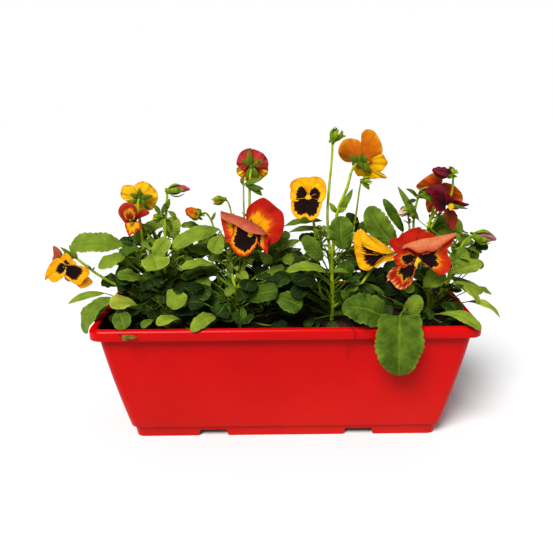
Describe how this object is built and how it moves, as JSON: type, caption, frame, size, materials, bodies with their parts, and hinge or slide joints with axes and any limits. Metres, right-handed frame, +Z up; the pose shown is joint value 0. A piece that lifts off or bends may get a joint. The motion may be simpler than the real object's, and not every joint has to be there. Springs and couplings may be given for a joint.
{
  "type": "potted pansy planter",
  "caption": "Moulded window trough with a rolled rim, filled with potting soil and planted with pansies: branching stems, toothed leaves, ruffled orange and yellow petals and closed buds.",
  "frame": {"origin": "centre of the trough's base, on the plane it rests on", "axes": "+X along the trough's length, -Y towards its front, +Z up"},
  "size_m": [0.5521, 0.1985, 0.3653],
  "materials": {
    "red_plastic": "gloss",
    "potting_soil": "matte",
    "stem_green": "satin",
    "leaf_green": "satin",
    "upper_petal_orange": "matte",
    "lower_petal_yellow": "matte",
    "bud_green": "satin"
  },
  "bodies": {
    "root": {"plant_1_flower_a_lower_petals": "lower_petal_yellow", "plant_1_flower_a_upper_petals": "upper_petal_orange", "plant_1_flower_b_lower_petals": "lower_petal_yellow", "plant_1_flower_b_upper_petals": "upper_petal_orange", "plant_1_flower_c_lower_petals": "lower_petal_yellow", "plant_1_flower_c_upper_petals": "upper_petal_orange", "plant_1_leaf_a": "leaf_green", "plant_1_leaf_b": "leaf_green", "plant_1_leaf_c": "leaf_green", "plant_1_leaf_d": "leaf_green", "plant_1_stem": "stem_green", "plant_2_bud_a": "bud_green", "plant_2_leaf_a": "leaf_green", "plant_2_leaf_b": "leaf_green", "plant_2_leaf_c": "leaf_green", "plant_2_leaf_d": "leaf_green", "plant_2_stem": "stem_green", "plant_3_bud_a": "bud_green", "plant_3_flower_a_lower_petals": "lower_petal_yellow", "plant_3_flower_a_upper_petals": "upper_petal_orange", "plant_3_leaf_a": "leaf_green", "plant_3_leaf_b": "leaf_green", "plant_3_leaf_c": "leaf_green", "plant_3_stem": "stem_green", "plant_4_flower_a_lower_petals": "lower_petal_yellow", "plant_4_flower_a_upper_petals": "upper_petal_orange", "plant_4_leaf_a": "leaf_green", "plant_4_leaf_b": "leaf_green", "plant_4_stem": "stem_green", "plant_5_bud_a": "bud_green", "plant_5_flower_a_lower_petals": "lower_petal_yellow", "plant_5_flower_a_upper_petals": "upper_petal_orange", "plant_5_flower_b_lower_petals": "lower_petal_yellow", "plant_5_flower_b_upper_petals": "upper_petal_orange", "plant_5_flower_c_lower_petals": "lower_petal_yellow", "plant_5_flower_c_upper_petals": "upper_petal_orange", "plant_5_leaf_a": "leaf_green", "plant_5_leaf_b": "leaf_green", "plant_5_leaf_c": "leaf_green", "plant_5_leaf_d": "leaf_green", "plant_5_stem": "stem_green", "plant_6_bud_a": "bud_green", "plant_6_bud_b": "bud_green", "plant_6_bud_c": "bud_green", "plant_6_flower_a_lower_petals": "lower_petal_yellow", "plant_6_flower_a_upper_petals": "upper_petal_orange", "plant_6_flower_b_lower_petals": "lower_petal_yellow", "plant_6_flower_b_upper_petals": "upper_petal_orange", "plant_6_flower_c_lower_petals": "lower_petal_yellow", "plant_6_flower_c_upper_petals": "upper_petal_orange", "plant_6_leaf_a": "leaf_green", "plant_6_leaf_b": "leaf_green", "plant_6_leaf_c": "leaf_green", "plant_6_leaf_d": "leaf_green", "plant_6_leaf_e": "leaf_green", "plant_6_leaf_f": "leaf_green", "plant_6_leaf_g": "leaf_green", "plant_6_stem": "stem_green", "planter_trough": "red_plastic", "potting_soil": "potting_soil"}
  },
  "joints": []
}
